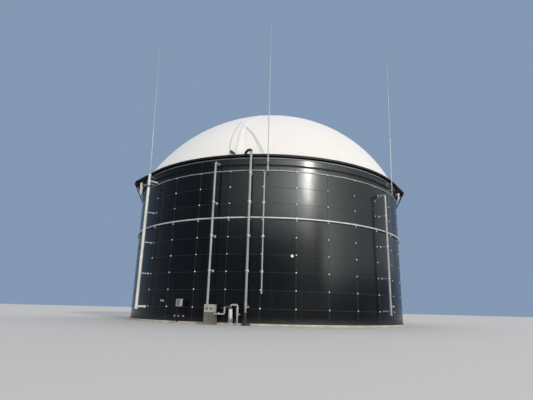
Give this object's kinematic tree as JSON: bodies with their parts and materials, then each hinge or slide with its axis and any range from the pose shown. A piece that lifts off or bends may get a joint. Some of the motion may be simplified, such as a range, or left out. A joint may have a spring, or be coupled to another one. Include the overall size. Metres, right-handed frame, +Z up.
{
  "type": "biogas digester tank",
  "caption": "Round tank of bolted, enamelled steel plates with wind girders, wall pipes and an inflated membrane roof, for digesting slurry and holding its biogas.",
  "frame": {"origin": "on the tank's axis at ground level, in the middle of the underside of the foundation slab", "axes": "+Z up along the tank's axis; -Y faces the side with the pipes, the blower plinth and the cabinet; +X is to the right seen from there"},
  "size_m": [25.1215, 25.4447, 23.79],
  "materials": {
    "enamelled_steel": "dark blue-black glass enamel, glossy",
    "dark_steel": "dark paint, satin",
    "galvanised_steel": "hot-dip galvanised, dull spangle",
    "roof_membrane": "coated fabric, satin, cream white",
    "white_pipe": "off-white pipe, satin, weathered",
    "rubber_hose": "black rubber, matt",
    "concrete": "cast concrete, rough",
    "painted_box": "pale grey paint, satin, dusty"
  },
  "bodies": {
    "root": {"foundation_slab": "concrete", "rim_girder": "dark_steel", "hem_rail": "galvanised_steel", "upper_stiffener": "dark_steel", "lower_stiffener": "galvanised_steel", "wind_girder": "galvanised_steel", "membrane_roof": "roof_membrane", "clamp_ring": "galvanised_steel", "air_duct": "roof_membrane", "blower_plinth": "concrete", "blower_box": "painted_box", "gas_pipe": "white_pipe", "blower_pipe": "white_pipe", "drain_pipe": "white_pipe", "feed_pipe": "white_pipe", "overflow_pipe": "white_pipe", "valve_stand": "dark_steel", "left_hose": "rubber_hose", "right_hose": "rubber_hose", "condensate_pot": "white_pipe", "transfer_pipe": "white_pipe", "siphon_pipe": "white_pipe", "post_foot": "concrete", "cabinet_post": "dark_steel", "control_cabinet": "painted_box", "nozzle_1": "white_pipe", "nozzle_2": "white_pipe", "nozzle_3": "white_pipe", "sampling_stub": "white_pipe", "relief_bracket_left": "dark_steel", "relief_bracket_right": "dark_steel", "relief_valve_left": "white_pipe", "relief_valve_right": "white_pipe", "wall_segment_01": "enamelled_steel", "wall_segment_02": "enamelled_steel", "wall_segment_03": "enamelled_steel", "wall_segment_04": "enamelled_steel", "wall_segment_05": "enamelled_steel", "wall_segment_06": "enamelled_steel", "wall_segment_07": "enamelled_steel", "wall_segment_08": "enamelled_steel", "wall_segment_09": "enamelled_steel", "wall_segment_10": "enamelled_steel", "wall_segment_11": "enamelled_steel", "wall_segment_12": "enamelled_steel", "wall_segment_13": "enamelled_steel", "wall_segment_14": "enamelled_steel", "wall_segment_15": "enamelled_steel", "wall_segment_16": "enamelled_steel", "lightning_rod_1": "galvanised_steel", "lightning_rod_2": "galvanised_steel", "lightning_rod_3": "galvanised_steel", "lightning_rod_4": "galvanised_steel", "lightning_rod_5": "galvanised_steel", "lightning_rod_6": "galvanised_steel"}
  },
  "joints": []
}
